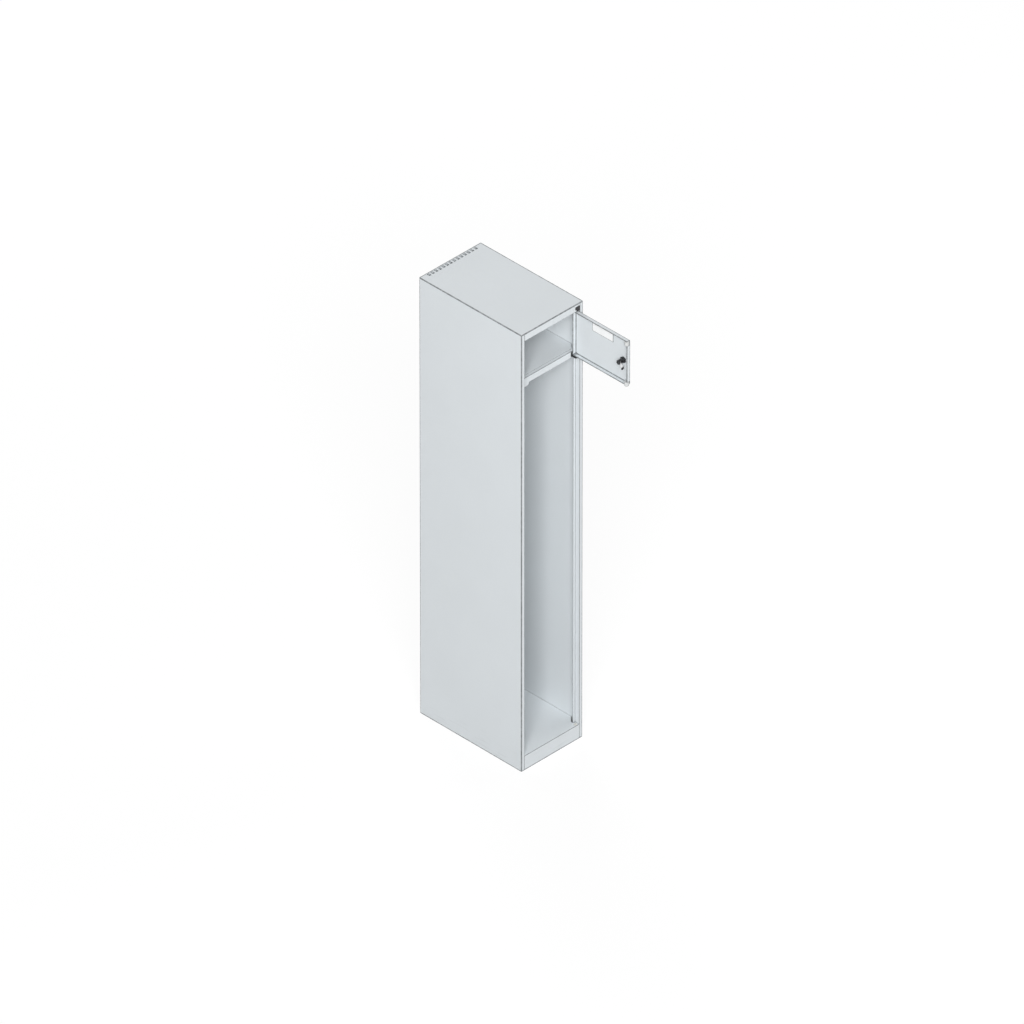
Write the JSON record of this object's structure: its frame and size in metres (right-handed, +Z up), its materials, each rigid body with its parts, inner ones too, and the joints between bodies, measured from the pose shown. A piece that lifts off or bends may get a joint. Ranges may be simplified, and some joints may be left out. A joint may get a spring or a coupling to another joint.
{
  "type": "metal locker",
  "caption": "Tall narrow steel wardrobe locker with a small lockable pan door on the top compartment and an open hanging compartment below.",
  "frame": {"origin": "middle of the cabinet's footprint, on the ground, under the floor pan", "axes": "+Z up; the front with the door faces -Y, the hinge is on the +X side"},
  "size_m": [0.3, 0.7505, 1.85],
  "materials": {
    "paint": "light grey powder coat",
    "black_plastic": "moulded, black",
    "socket_plastic": "moulded, grey",
    "rail_steel": "drawn tube",
    "zinc": "zinc plated",
    "washer_plastic": "natural nylon",
    "label_plastic": "moulded, white",
    "card": "plain paper card",
    "buffer_plastic": "soft white buffer",
    "lock_dark": "blackened die casting",
    "lock_plug": "turned, nickel"
  },
  "bodies": {
    "cabinet": {"left_side_panel": "paint", "right_side_panel": "paint", "back_panel": "paint", "top_panel": "paint", "header_rail": "paint", "floor_panel": "paint", "shelf_panel": "paint", "cross_rail": "paint", "upper_pivot_block": "black_plastic", "lower_pivot_bearing": "black_plastic", "floor_pivot_bush": "washer_plastic", "clothes_rail": "rail_steel", "left_rail_socket": "socket_plastic", "right_rail_socket": "socket_plastic"},
    "door": {"door_pan": "paint", "upper_hinge_pin": "zinc", "lower_hinge_pin": "zinc", "thrust_washer": "washer_plastic", "label_bezel": "label_plastic", "label_card": "card", "label_back_plate": "label_plastic", "upper_door_buffer": "buffer_plastic", "lower_door_buffer": "buffer_plastic", "lock_housing": "lock_dark", "lock_nut": "lock_dark"},
    "lock_cam": {"lock_plug": "lock_plug", "lock_cam": "zinc", "cam_bolt": "lock_dark"}
  },
  "joints": [
    {"name": "door_hinge", "type": "hinge", "parent": "cabinet", "child": "door", "pos_m": [0.124, -0.242, 1.724], "axis": [0, 0, 1], "range_deg": [-90, 15]},
    {"name": "lock_turn", "type": "hinge", "parent": "door", "child": "lock_cam", "pos_m": [0.124, -0.467, 1.72], "axis": [-1, 0, 0], "range_deg": [-50, 40]}
  ]
}
